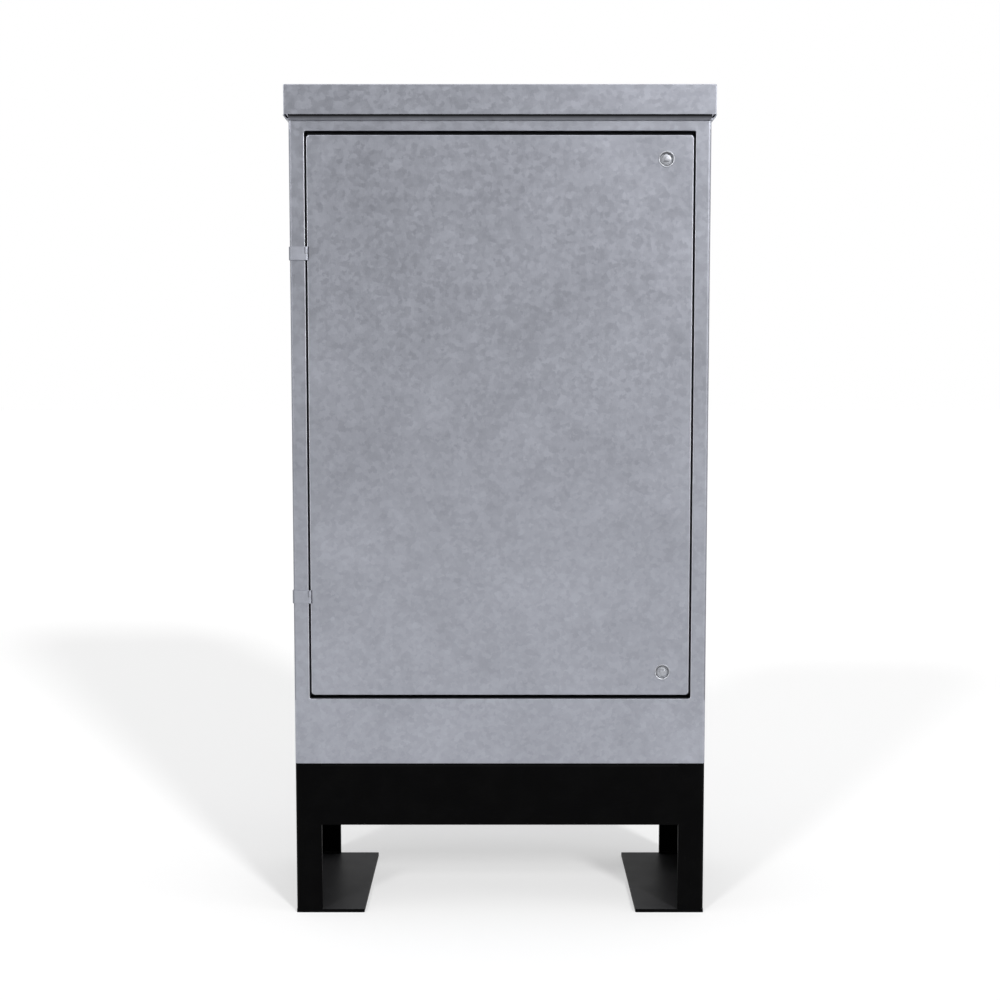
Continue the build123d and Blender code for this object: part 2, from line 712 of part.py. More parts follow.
for lock_name, height in lock_heights.items():
    # the axis runs from the front to the back of the door
    lock_plane = Plane((lock_x, -half_depth, height), x_dir=(1, 0, 0), z_dir=(0, 1, 0))
    point = -1 if lock_name == "upper" else 1
    body_length = housing_back + half_depth
    floor_depth = lock_floor + half_depth

    with BuildPart() as lock_housing:
        with BuildSketch(Plane((lock_x, -half_depth, height), x_dir=(1, 0, 0), z_dir=(0, 0, 1))):
            with BuildLine():
                Polyline(
                    (lock_stem_radius + lock_running_fit, body_length),
                    (lock_stem_radius + lock_running_fit, floor_depth + lock_head_thickness),
                    (lock_head_radius + lock_running_fit, floor_depth + lock_head_thickness),
                    (lock_head_radius + lock_running_fit, floor_depth),
                    (lock_dish_radius, floor_depth),
                    (lock_mouth_radius, 0),
                    (lock_rim_radius - lock_rim_land, -lock_rim_proud),
                    (lock_rim_radius, -lock_rim_proud),
                    (lock_rim_radius, 0),
                    (lock_body_radius, 0),
                    (lock_body_radius, body_length),
                    close=True,
                )
            make_face()
        revolve(axis=Axis((lock_x, 0, height), (0, 1, 0)))
        for x in (-1, 1):
            with BuildSketch(lock_plane):
                with Locations((x * lock_flat_half, 0)):
                    Rectangle(
                        lock_body_radius,
                        lock_nut_across,
                        align=(Align.MIN if x > 0 else Align.MAX, Align.CENTER),
                    )
            extrude(amount=body_length, mode=Mode.SUBTRACT)
    save(lock_housing.part, f"lock_housing_{lock_name}")

    with BuildPart() as lock_nut:
        with BuildSketch(lock_plane.offset(sheet)):
            RegularPolygon(lock_nut_across / 2, 6, major_radius=False)
            Circle(lock_body_radius, mode=Mode.SUBTRACT)
        extrude(amount=lock_nut_thickness)
    save(lock_nut.part, f"lock_nut_{lock_name}")

    with BuildPart() as lock_insert:
        with BuildSketch(lock_plane.offset(floor_depth)):
            Circle(lock_head_radius)
        extrude(amount=lock_head_thickness)
        with BuildSketch(lock_plane.offset(floor_depth)):
            RegularPolygon(lock_triangle_corner, 3, rotation=90 * point)
        extrude(amount=-lock_triangle_rise)
        with BuildSketch(lock_plane.offset(floor_depth + lock_head_thickness)):
            Circle(lock_stem_radius)
        extrude(amount=cam_front + half_depth - floor_depth - lock_head_thickness)
        with BuildSketch(lock_plane.offset(cam_front + half_depth)):
            Rectangle(lock_square, lock_square)
        extrude(amount=cam_thickness - cam_square_short)
        with BuildSketch(lock_plane.offset(cam_front + half_depth + cam_thickness)):
            Circle(cam_screw["shank"])
        extrude(amount=-cam_screw_length, mode=Mode.SUBTRACT)
    save(lock_insert.part, f"lock_insert_{lock_name}")

    with BuildPart() as lock_cam:
        with BuildSketch(lock_plane.offset(cam_front + half_depth)):
            Circle(cam_width / 2)
            with Locations((0, -point * cam_reach / 2)):
                RectangleRounded(cam_width, cam_reach, cam_corner)
            Rectangle(lock_square, lock_square, mode=Mode.SUBTRACT)
        extrude(amount=cam_thickness)
    save(lock_cam.part, f"lock_cam_{lock_name}")

    with BuildPart() as cam_fixing:
        washer_plane = lock_plane.offset(cam_front + half_depth + cam_thickness)
        with BuildSketch(washer_plane.offset(cam_washer_thick)):
            RegularPolygon(cam_screw["across"] / 2, 6, major_radius=False)
        extrude(amount=cam_screw["head"])
        with BuildSketch(washer_plane.offset(cam_washer_thick)):
            Circle(cam_screw["shank"])
        extrude(amount=-cam_screw_length - cam_washer_thick)
    save(cam_fixing.part, f"cam_screw_{lock_name}")

    with BuildPart() as cam_washer:
        with BuildSketch(washer_plane):
            Circle(cam_washer_outer)
            Circle(cam_screw["shank"], mode=Mode.SUBTRACT)
        extrude(amount=cam_washer_thick)
    save(cam_washer.part, f"cam_washer_{lock_name}")

# Earth studs: one on the right side sheet near the base, one on the door near the hinges;
# each has a washer on the sheet, a space for the lug, a washer and a nut

stud_plane_body = Plane(
    (half_width - sheet, 0, root_height + earth_stud_height), x_dir=(0, 1, 0), z_dir=(-1, 0, 0)
)
stud_plane_door = Plane(
    (-door_width / 2 + door_stud_inset, inner_front, door_bottom + door_stud_inset),
    x_dir=(1, 0, 0),
    z_dir=(0, 1, 0),
)
for place, stud_plane in (("body", stud_plane_body), ("door", stud_plane_door)):
    with BuildPart() as earth_stud_piece:
        with BuildSketch(stud_plane):
            Circle(earth_stud["shank"])
        extrude(amount=earth_stud_length)
        tip = earth_stud_piece.faces().sort_by(Axis(stud_plane.origin, stud_plane.z_dir))[-1]
        chamfer(tip.edges(), length=head_chamfer)
    save(earth_stud_piece.part, f"earth_stud_{place}")

    with BuildPart() as earth_washers:
        for standoff in (0, earth_washer_thick + earth_lug_space):
            with BuildSketch(stud_plane.offset(standoff)):
                Circle(earth_washer_outer)
                Circle(earth_stud["shank"], mode=Mode.SUBTRACT)
            extrude(amount=earth_washer_thick)
    save(earth_washers.part, f"earth_washers_{place}")

    with BuildPart() as earth_nut:
        with BuildSketch(stud_plane.offset(2 * earth_washer_thick + earth_lug_space)):
            RegularPolygon(earth_stud["across"] / 2, 6, major_radius=False)
            Circle(earth_stud["shank"], mode=Mode.SUBTRACT)
        extrude(amount=earth_stud["nut"])
    save(earth_nut.part, f"earth_nut_{place}")
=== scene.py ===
import json
import math

import bmesh
import bpy
from mathutils import Euler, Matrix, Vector


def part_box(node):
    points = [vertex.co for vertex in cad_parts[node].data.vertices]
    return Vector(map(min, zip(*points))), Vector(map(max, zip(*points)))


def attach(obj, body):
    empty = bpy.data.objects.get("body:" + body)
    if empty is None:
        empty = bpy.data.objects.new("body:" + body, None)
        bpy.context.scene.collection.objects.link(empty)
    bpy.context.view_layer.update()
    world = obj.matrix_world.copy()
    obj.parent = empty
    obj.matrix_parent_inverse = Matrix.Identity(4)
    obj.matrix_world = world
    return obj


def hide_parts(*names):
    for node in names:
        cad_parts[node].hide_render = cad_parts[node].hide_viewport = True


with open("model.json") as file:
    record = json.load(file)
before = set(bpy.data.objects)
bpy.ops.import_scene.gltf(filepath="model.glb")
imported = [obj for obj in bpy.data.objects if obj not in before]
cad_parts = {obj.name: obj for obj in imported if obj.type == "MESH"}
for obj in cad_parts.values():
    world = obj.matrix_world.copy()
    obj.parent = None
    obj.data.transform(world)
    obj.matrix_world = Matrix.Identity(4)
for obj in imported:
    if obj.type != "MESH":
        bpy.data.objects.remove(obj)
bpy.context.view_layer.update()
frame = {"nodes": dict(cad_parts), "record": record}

print("frame loaded:", len(frame["nodes"]), "nodes")


# Shader maths: a socket with operators, so that a recipe reads as a formula

class Socket:
    def __init__(self, recipe, out):
        self.maths = recipe.maths
        self.out = out

    def __add__(self, other):
        return self.maths("ADD", self, other)

    def __radd__(self, other):
        return self.maths("ADD", other, self)

    def __sub__(self, other):
        return self.maths("SUBTRACT", self, other)

    def __rsub__(self, other):
        return self.maths("SUBTRACT", other, self)

    def __mul__(self, other):
        return self.maths("MULTIPLY", self, other)

    def __rmul__(self, other):
        return self.maths("MULTIPLY", other, self)


class Recipe:
    def __init__(self, tree):
        self.tree = tree
        tree.nodes.clear()

    def node(self, kind, settings=None, sockets=None, out=0):
        # settings first, then a value or a link for each socket; stops are the two of a ramp
        made = self.tree.nodes.new(kind)
        for key, value in (settings or {}).items():
            if key == "stops":
                for stop, (place, level) in zip(made.color_ramp.elements, value):
                    stop.position = place
                    stop.color = (level, level, level, 1)
            else:
                setattr(made, key, value)
        for key, value in (sockets or {}).items():
            if isinstance(value, Socket):
                self.tree.links.new(value.out, made.inputs[key])
            else:
                made.inputs[key].default_value = value
        return Socket(self, made.outputs[out]) if made.outputs else made

    def maths(self, operation, *values):
        return self.node("ShaderNodeMath", {"operation": operation}, dict(enumerate(values)))

    def place(self):
        return self.node("ShaderNodeTexCoord", out="Object")

    def part(self, vector, axis):
        return self.node("ShaderNodeSeparateXYZ", {}, {0: vector}, axis)

    def rays(self):
        # what the camera sees, what is reflected and what shines through
        kinds = ("Is Camera Ray", "Is Glossy Ray", "Is Transmission Ray")
        return [self.node("ShaderNodeLightPath", out=kind) for kind in kinds]

    def noise(self, vector, scale, detail=2.0, roughness=0.5, out="Fac"):
        sockets = {"Vector": vector, "Scale": scale, "Detail": detail, "Roughness": roughness}
        return self.node("ShaderNodeTexNoise", {}, sockets, out)

    def stretched(self, vector, scale):
        return self.node("ShaderNodeMapping", {}, {"Vector": vector, "Scale": scale})

    def grains(self, vector, scale):
        # a level for each crystal
        tint = self.node("ShaderNodeTexVoronoi", {}, {"Vector": vector, "Scale": scale}, "Color")
        return self.node("ShaderNodeSeparateColor", {}, {"Color": tint})

    def ramp(self, level, stops):
        return self.node("ShaderNodeValToRGB", {"stops": stops}, {"Fac": level})

    def spread(self, value, limits, ends=(0.0, 1.0), shape="LINEAR"):
        sockets = {"Value": value, "From Min": limits[0], "From Max": limits[1],
                   "To Min": ends[0], "To Max": ends[1]}
        return self.node("ShaderNodeMapRange", {"interpolation_type": shape}, sockets)

    def blend(self, level, first, second):
        # inputs 6 and 7 and output 2 of a Mix node are its colours
        sockets = {0: level, 6: first, 7: second}
        return self.node("ShaderNodeMix", {"data_type": "RGBA"}, sockets, 2)

    def shift(self, vector, amount, scale):
        # moves a place about by a noise of that scale
        wander = self.noise(vector, scale, detail=1.0, out="Color")
        sockets = {0: wander, 1: (amount, amount, amount), 2: vector}
        return self.node("ShaderNodeVectorMath", {"operation": "MULTIPLY_ADD"}, sockets)

    def bump(self, height, distance):
        return self.node("ShaderNodeBump", {}, {"Height": height, "Distance": distance})

    def surface(self, **sockets):
        named = {key.replace("_", " "): value for key, value in sockets.items()}
        shader = self.node("ShaderNodeBsdfPrincipled", {}, named)
        self.node("ShaderNodeOutputMaterial", {}, {"Surface": shader})


def newMaterial(name):
    material = bpy.data.materials.new(name)
    material.use_nodes = True
    return material, Recipe(material.node_tree)


# Hot-dip galvanised steel: small crystals, soft clouds and a faint flow of the zinc; painted
# highlights on the upright folds of the door and its opening, and painted shade in the gaps, on the
# outer bends and under the fascia

galvanised = {
    "dark": (0.275, 0.285, 0.322, 1),
    "light": (0.403, 0.416, 0.469, 1),
    "bright": (0.80, 0.81, 0.86, 1),  # painted highlight on the upright folds
    "fold": (0.005, 0.0051, 0.0056, 1),  # painted shade for the gaps, the stop frame's strip, the outer bends and the drip lip
    "crystals": 150.0,
    "bigCrystals": 85.0,
    "wander": (0.006, 260.0),  # of the crystals' borders: how far, how finely
    "clouds": 7.0,
    "patches": 35.0,
    "grit": 900.0,
    "flow": 38.0,
    "share": {"small": 0.30, "big": 0.16, "cloud": 0.9, "patch": 0.45, "grit": 0.12, "base": 0.46},
    # how much painted highlight the upright folds get, and how much painted shade the gaps and
    # outer bends get
    "dressing": 0.8,
    "gapDulling": 0.9,
    "bendDulling": 0.42,
    # ramps on the normal: how much of a bend, of an upright fold, of an edge, of an underside
    "bend": [(0.80, 1.0), (0.985, 0.0)],
    "upright": [(0.10, 1.0), (0.35, 0.0)],
    "edge": [(0.35, 0.0), (0.6, 1.0)],
    "underside": [(0.18, 0.0), (0.42, 1.0)],
    # zones: axis, middle and reach to each side, in metres
    "zones": {
        "inner": ("X", 0.0, 0.294),
        "front": ("X", 0.0, 0.2995),
        "gap": ("Y", -0.12, 0.016),
        "frameFace": ("Y", -0.111, 0.001),
        "beside": ("Z", 0.728, 0.410),
        "sealed": ("Z", 0.728, 0.4005),
    },
    "gapDepth": (-0.1340, -0.1240),
    "lipHeight": (1.1475, 1.1563),
    "metallic": 0.92,
    "roughness": 0.34,
    "smallRough": 0.03,
    "cloudRough": 0.04,
    "smallRelief": 0.02,
    "gritRelief": 0.03,
    "relief": 0.00007,
}


def makeGalvanised(name, look):
    material, r = newMaterial(name)
    at = r.place()
    bent = r.shift(at, *look["wander"])
    small = r.grains(bent, look["crystals"])
    big = r.grains(bent, look["bigCrystals"])
    cloud = r.noise(at, look["clouds"], detail=4.0, roughness=0.6)
    patch = r.noise(at, look["patches"], detail=3.0, roughness=0.6)
    grit = r.noise(at, look["grit"], detail=1.0)
    share = look["share"]
    tone = share["small"] * small + share["big"] * big + share["cloud"] * cloud
    tone = tone + share["patch"] * patch + share["grit"] * grit - share["base"]
    paint = r.blend(tone, look["dark"], look["light"])

    zone = {}
    for zoneName, (axis, middle, reach) in look["zones"].items():
        zone[zoneName] = r.maths("COMPARE", r.part(at, axis), middle, reach)
    normal = r.node("ShaderNodeTexCoord", out="Normal")
    turn = r.node("ShaderNodeVectorMath", {"operation": "ABSOLUTE"}, {0: normal})
    sideways, frontal, level = [r.part(turn, axis) for axis in "XYZ"]
    flat = r.maths("MAXIMUM", r.maths("MAXIMUM", sideways, frontal), level)
    bend = r.ramp(flat, look["bend"])

    # painted highlight: the upright folds of the door and its opening get a brighter colour that
    # stands in for the light they catch
    highlightMask = bend * r.ramp(level, look["upright"]) * zone["inner"]
    paint = r.blend(highlightMask * look["dressing"], paint, look["bright"])
    # painted shade: the gaps round the door get darker with depth
    edgeOn = 1.0 - r.ramp(frontal, look["edge"])
    depth = r.spread(r.part(at, "Y"), look["gapDepth"])
    gap = depth * edgeOn * zone["gap"] * zone["beside"] * zone["inner"]
    paint = r.blend(gap * look["gapDulling"], paint, look["fold"])
    # painted shade on the stop frame's strip between the seal and the sheet, seen through the gap
    strip = zone["frameFace"] * (1.0 - zone["sealed"]) * zone["beside"]
    paint = r.blend(strip * look["gapDulling"], paint, look["fold"])
    # painted shade on the outer bends of the body, which damps the highlight they catch
    outer = bend * (1.0 - zone["inner"]) * zone["beside"]
    paint = r.blend(outer * look["bendDulling"], paint, look["fold"])
    # painted shade on the drip lip under the fascia, darkest at its top along the fold
    down = r.part(r.node("ShaderNodeNewGeometry", out="Normal"), "Z") * -1.0
    lip = r.ramp(down, look["underside"]) * zone["front"]
    lip = lip * r.spread(r.part(at, "Z"), look["lipHeight"])
    paint = r.blend(lip, paint, look["fold"])

    height = r.noise(at, look["flow"]) + look["smallRelief"] * small + look["gritRelief"] * grit
    r.surface(
        Base_Color=paint,
        Metallic=look["metallic"],
        Roughness=look["roughness"] + look["smallRough"] * small + look["cloudRough"] * cloud,
        Normal=r.bump(height, look["relief"]),
    )
    return material


# Black coat of the root: satin, with a fine orange peel and dust on what faces up

blackCoat = {
    "colour": (0.0005, 0.0005, 0.0006, 1),
    "worn": (0.0014, 0.0014, 0.0015, 1),
    "wear": [(0.45, 0.0), (0.8, 1.0)],
    "dust": (0.033, 0.033, 0.035, 1),
    "lying": [(0.7, 0.0), (0.95, 1.0)],
    "cover": (0.6, 0.5),  # everywhere, and more in patches
    "patches": 22.0,
    "peel": 420.0,
    "relief": 0.00006,
    "roughness": (0.34, 0.2),
    "specular": 0.035,
}


def makeBlackCoat(look):
    material, r = newMaterial("satinBlackCoat")
    at = r.place()
    patch = r.noise(at, look["patches"], detail=5.0, roughness=0.65)
    paint = r.blend(r.ramp(patch, look["wear"]), look["colour"], look["worn"])
    level = r.part(r.node("ShaderNodeTexCoord", out="Normal"), "Z")
    dust = r.ramp(level, look["lying"]) * (look["cover"][0] + look["cover"][1] * patch)
    r.surface(
        Base_Color=r.blend(dust, paint, look["dust"]),
        Roughness=look["roughness"][0] + look["roughness"][1] * patch,
        Specular_IOR_Level=look["specular"],
        Normal=r.bump(r.noise(at, look["peel"]), look["relief"]),
    )
    return material


# Plain metals: base colour, roughness and brushing differ, stains and wear are alike

metals = {
    "lock_metal": {
        "name": "satinLockMetal", "colour": (0.40, 0.41, 0.44, 1), "rough": 0.30, "streak": 0.25},
    "bright_zinc": {
        "name": "brightZinc", "colour": (0.50, 0.52, 0.55, 1), "rough": 0.26, "streak": 0.35},
    "brass": {
        "name": "plainBrass", "colour": (0.62, 0.43, 0.17, 1), "rough": 0.24, "streak": 0.3},
}
metalWear = {
    "brushing": (1.0, 1.0, 9.0),
    "streaks": 350.0,
    "stains": 60.0,
    "stained": [(0.4, 0.0), (0.85, 0.8)],
    "dull": 0.62,
    "streakRough": 0.3,
    "stainRough": 0.16,
    "relief": 0.00002,
}


def makeMetal(look):
    material, r = newMaterial(look["name"])
    at = r.place()
    streak = r.noise(r.stretched(at, metalWear["brushing"]), metalWear["streaks"], detail=3.0)
    stain = r.noise(at, metalWear["stains"], detail=4.0, roughness=0.6)
    dull = tuple(metalWear["dull"] * c for c in look["colour"][:3]) + (1,)
    rough = look["rough"] + look["streak"] * metalWear["streakRough"] * streak
    r.surface(
        Base_Color=r.blend(r.ramp(stain, metalWear["stained"]), look["colour"], dull),
        Metallic=1.0,
        Roughness=rough + metalWear["stainRough"] * stain,
        Normal=r.bump(streak, metalWear["relief"]),
    )
    return material


# Plywood: cathedral grain on the faces, bare plies along the edges

plywood = {
    "early": (0.62, 0.44, 0.25, 1),
    "late": (0.42, 0.26, 0.13, 1),
    "glue": (0.16, 0.09, 0.05, 1),
    "ply": 0.0036,
    "board": (14.0, 1.0, 0.9),  # how the grain is drawn out
    "bow": 1.1,
    "rings": 9.0,
    "ringEdge": [(0.1, 0.0), (0.9, 1.0)],
    "pores": (900.0, 1.0, 26.0),
    "share": (0.75, 0.25),  # of rings and pores in the colour
    "plyEdge": [(0.45, 0.0), (0.55, 1.0)],
    "glueLine": [(0.0, 1.0), (0.08, 0.0)],
    "face": [(0.4, 0.0), (0.6, 1.0)],
    "roughness": (0.62, 0.15),
    "ringRelief": 0.4,
    "relief": 0.00008,
}


def makePlywood(look):
    material, r = newMaterial("sandedPlywood")
    at = r.place()
    bow = r.noise(r.stretched(at, look["board"]), look["bow"], detail=3.0, roughness=0.55)
    rings = r.maths("PINGPONG", bow * look["rings"], 0.5) * 2.0
    pores = r.noise(r.stretched(at, look["pores"]), 1.0)
    grain = r.ramp(rings, look["ringEdge"]) * look["share"][0] + look["share"][1] * pores
    face = r.blend(grain, look["early"], look["late"])
    layer = r.maths("PINGPONG", r.part(at, "Y"), look["ply"]) * (1 / look["ply"])
    plies = r.blend(r.ramp(layer, look["plyEdge"]), look["early"], look["late"])
    edge = r.blend(r.ramp(layer, look["glueLine"]), plies, look["glue"])
    facing = r.part(r.node("ShaderNodeNewGeometry", out="Normal"), "Y")
    onEdge = 1.0 - r.ramp(r.maths("ABSOLUTE", facing), look["face"])
    r.surface(
        Base_Color=r.blend(onEdge, face, edge),
        Roughness=look["roughness"][0] + look["roughness"][1] * pores,
        Normal=r.bump(pores + look["ringRelief"] * rings, look["relief"]),
    )
    return material


# Closed-cell foam rubber of the seal, and grey nylon of the hinge washers

soft = {
    "seal_foam": {
        "name": "cellFoam", "colour": (0.018, 0.018, 0.019, 1), "light": (0.04, 0.04, 0.042, 1),
        "cells": 1100.0, "rough": 0.82, "relief": 0.0001},
    "nylon": {
        "name": "greyNylon", "colour": (0.16, 0.165, 0.17, 1), "light": (0.20, 0.205, 0.21, 1),
        "cells": 500.0, "rough": 0.42, "relief": 0.00002},
}
softBloom = {"patches": 30.0, "share": (0.6, 0.4), "rough": 0.12}


def makeSoft(look):
    material, r = newMaterial(look["name"])
    at = r.place()
    sockets = {"Vector": at, "Scale": look["cells"]}
    cells = r.node("ShaderNodeTexVoronoi", {}, sockets, "Distance")
    bloom = r.noise(at, softBloom["patches"], detail=3.0)
    tone = softBloom["share"][0] * bloom + softBloom["share"][1] * cells
    r.surface(
        Base_Color=r.blend(tone, look["colour"], look["light"]),
        Roughness=look["rough"] + softBloom["rough"] * bloom,
        Normal=r.bump(cells, look["relief"]),
    )
    return material


# Each slot's finish; the hinges' zinc is rougher and gets no painted highlight on its folds

hingeLook = {**galvanised, "dressing": 0.0, "roughness": 0.42}
finishes = {
    "galvanised": makeGalvanised("hotDipGalvanised", galvanised),
    "hinge": makeGalvanised("galvanisedHinge", hingeLook),
    "black_coat": makeBlackCoat(blackCoat),
    "plywood": makePlywood(plywood),
}
finishes.update({slotName: makeMetal(look) for slotName, look in metals.items()})
finishes.update({slotName: makeSoft(look) for slotName, look in soft.items()})

slotOf = {p["node"]: p["material_slot"] for p in frame["record"]["subparts"]}
bodies = frame["record"]["behaviour"]["bodies"]
bodyOf = {nodeName: body for body, names in bodies.items() for nodeName in names}

for nodeName, node in frame["nodes"].items():
    onHinge = nodeName.startswith("hinge") and slotOf[nodeName] == "galvanised"
    for place in node.material_slots:
        place.material = finishes["hinge" if onHinge else slotOf[nodeName]]
print("finishes made and laid on the CAD nodes")


# Modelling steps that several pieces share; lengths in mm until a piece is laid in place

perMetre = 1000
same = 0.0005  # ends nearer than this are one
smoothTo = 32.0  # degrees between faces that shade as one


def deselect():
    bpy.ops.object.select_all(action="DESELECT")


def onlySelect(piece):
    deselect()
    piece.select_set(True)
    bpy.context.view_layer.objects.active = piece


def discard(pattern):
    onlySelect(pattern)
    bpy.ops.object.delete()


def pickEdges(piece, test):
    # in edit mode, selects the edges whose two ends pass the test
    shape = bmesh.from_edit_mesh(piece.data)
    for edge in shape.edges:
        edge.select_set(test(edge.verts[0].co, edge.verts[1].co))
    bmesh.update_edit_mesh(piece.data)


def turned(name, profile, sides, ring=False):
    # drawn out step by step along its axis, as on a lathe; a ring closes on itself
    deselect()
    fill = "NOTHING" if ring else "NGON"
    along, radius = profile[0]
    bpy.ops.mesh.primitive_circle_add(
        vertices=sides, radius=radius, fill_type=fill, location=(0, 0, along))
    piece = bpy.context.object
    piece.name = name
    bpy.ops.object.transform_apply(location=True, rotation=False, scale=False)
    bpy.ops.object.mode_set(mode="EDIT")
    bpy.ops.mesh.select_all(action="SELECT")
    for nextAlong, nextRadius in profile[1:] + (profile[:1] if ring else []):
        step = (0, 0, nextAlong - along)
        bpy.ops.mesh.extrude_region_move(TRANSFORM_OT_translate={"value": step})
        grow = nextRadius / radius
        bpy.ops.transform.resize(value=(grow, grow, 1), center_override=(0, 0, nextAlong))
        along, radius = nextAlong, nextRadius
    bpy.ops.mesh.select_all(action="SELECT")
    bpy.ops.mesh.remove_doubles(threshold=same)
    bpy.ops.mesh.normals_make_consistent(inside=False)
    bpy.ops.object.mode_set(mode="OBJECT")
    return piece


def cutFlats(piece, across, count, first):
    # flats round the axis, the first at that many half turns from local X
    onlySelect(piece)
    bpy.ops.object.mode_set(mode="EDIT")
    for step in range(count):
        angle = math.pi * (2 * step / count + first)
        normal = Vector((math.cos(angle), math.sin(angle), 0))
        bpy.ops.mesh.select_all(action="SELECT")
        bpy.ops.mesh.bisect(
            plane_co=normal * across / 2, plane_no=normal, use_fill=True, clear_outer=True)
    bpy.ops.mesh.select_all(action="SELECT")
    bpy.ops.mesh.normals_make_consistent(inside=False)
    bpy.ops.object.mode_set(mode="OBJECT")


def joined(name, parts):
    deselect()
    for part in parts:
        part.select_set(True)
    bpy.context.view_layer.objects.active = parts[0]
    if len(parts) > 1:
        bpy.ops.object.join()
    parts[0].name = name
    return parts[0]


def settle(piece, nodeName, replace=True):
    # shading, finish, body and slot of a piece that stands for a CAD node or goes with it
    onlySelect(piece)
    bpy.ops.object.shade_smooth_by_angle(angle=math.radians(smoothTo))
    piece.data.materials.clear()
    piece.data.materials.append(finishes[slotOf[nodeName]])
    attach(piece, bodyOf[nodeName])
    if replace:
        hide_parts(nodeName)


turns = {
    "up": (0, 0, 0),
    "down": (math.pi, 0, 0),
    "back": (-math.pi / 2, 0, 0),
    "front": (math.pi / 2, 0, 0),
    "right": (math.pi / 2, 0, math.pi / 2),
}


def layAt(pattern, name, spots, way, nodeName, replace=True):
    # copies of a pattern, each with its own mesh, laid at their spots and joined
    laid = []
    for spot in spots:
        copy = pattern.copy()
        copy.data = pattern.data.copy()
        bpy.context.scene.collection.objects.link(copy)
        copy.scale = (1 / perMetre, 1 / perMetre, 1 / perMetre)
        copy.rotation_euler = turns[way]
        copy.location = Vector(spot) / perMetre
        onlySelect(copy)
        bpy.ops.object.transform_apply(location=True, rotation=True, scale=True)
        laid.append(copy)
    settle(joined(name, laid), nodeName, replace)
    discard(pattern)


threadShape = {"depth": 0.5, "rise": 0.18, "root": 0.5, "fall": 0.82}  # in pitches


def thread(start, end, outer, pitch):
    # crests and roots of a thread between two places on the axis
    points = []
    depth = threadShape["depth"] * pitch
    place = start
    while place + pitch <= end:
        points.append((place + threadShape["rise"] * pitch, outer))
        points.append((place + threadShape["root"] * pitch, outer - depth))
        points.append((place + threadShape["fall"] * pitch, outer))
        place += pitch
    return points


# Foam seal: a crowned strip round the stop frame that the door shuts on

foam = {
    "width": 10.0,
    "corner": 5.0,
    "cornerSteps": 6,
    "crown": 1.7,
    "crownSteps": 5,
    "crownAngle": 60.0,
    "fill": 0.9,
}

low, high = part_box("door_seal")
middle = (low[2] + high[2]) / 2
pick = 0.002  # how near the strip's rim an end has to be
halfWide, halfTall = high[0] - pick, (high[2] - low[2]) / 2 - pick
deselect()
bpy.ops.mesh.primitive_plane_add(
    size=1, location=(0, high[1], middle), rotation=(math.pi / 2, 0, 0))
doorSeal = bpy.context.object
doorSeal.name = "doorSeal"
doorSeal.scale = (high[0] - low[0], high[2] - low[2], 1)
bpy.ops.object.transform_apply(location=True, rotation=True, scale=True)
bpy.ops.object.mode_set(mode="EDIT")
bpy.ops.mesh.select_all(action="SELECT")
bpy.ops.mesh.inset(thickness=foam["width"] / perMetre, depth=0)
bpy.ops.mesh.delete(type="FACE")
bpy.ops.mesh.select_all(action="SELECT")
bpy.ops.mesh.extrude_region_move(TRANSFORM_OT_translate={"value": (0, low[1] - high[1], 0)})
bpy.ops.mesh.select_all(action="SELECT")
bpy.ops.mesh.normals_make_consistent(inside=False)
bpy.ops.mesh.select_all(action="DESELECT")
pickEdges(doorSeal, lambda a, b: (
    abs(a.y - b.y) > pick and abs(a.x) > halfWide and abs(a.z - middle) > halfTall))
bpy.ops.mesh.bevel(
    offset=foam["corner"] / perMetre, segments=foam["cornerSteps"], affect="EDGES")
bpy.ops.object.mode_set(mode="OBJECT")
crown = doorSeal.modifiers.new("crown", "BEVEL")
crown.width = foam["crown"] / perMetre
crown.segments = foam["crownSteps"]
crown.limit_method = "ANGLE"
crown.angle_limit = math.radians(foam["crownAngle"])
crown.use_clamp_overlap = True
onlySelect(doorSeal)
bpy.ops.object.modifier_apply(modifier="crown")
settle(doorSeal, "door_seal")
print("foam seal modelled")


# Fasteners: blanks turned with their chamfers and threads, then cut to six flats

hexHalfTurn = 0.5  # the first of six flats faces along local Y
fastenerShape = {
    "nutFace": 0.985,  # radius of the flat face, in half widths across the flats
    "headFace": 0.96,
    "mouth": 0.5,  # chamfer of a nut's hole
    "runOut": 0.8,  # of a bolt's thread, before its end
    "end": 0.7,  # chamfer at a bolt's end
    "shoulder": 0.9,
    "tip": 0.78,
    "sunk": 0.4,  # the shank starts inside the head
    "drop": 0.5,  # how far a hexagon's chamfer comes down, in its width
    "burr": 0.25,  # rounding of a punched washer
    "burrCurve": 0.3,
    "cap": 0.7,  # chamfer of a stud
    "hexSides": 60,
    "shankSides": 24,
    "washerSides": 56,
}


def hexCorner(across, face):
    # radius at the corners, and how far along the axis the chamfer reaches there
    corner = across / 2 / math.cos(math.pi / 6)
    return corner, (corner - face) * fastenerShape["drop"]


def makeNut(across, hole, thick):
    shape = fastenerShape
    face = across / 2 * shape["nutFace"]
    corner, drop = hexCorner(across, face)
    mouth = shape["mouth"]
    profile = [(mouth, hole), (0.0, hole + mouth), (0.0, face), (drop, corner)]
    profile += [(thick - drop, corner), (thick, face), (thick, hole + mouth), (thick - mouth, hole)]
    nut = turned("hexNut", profile, shape["hexSides"], ring=True)
    cutFlats(nut, across, 6, hexHalfTurn)
    return nut


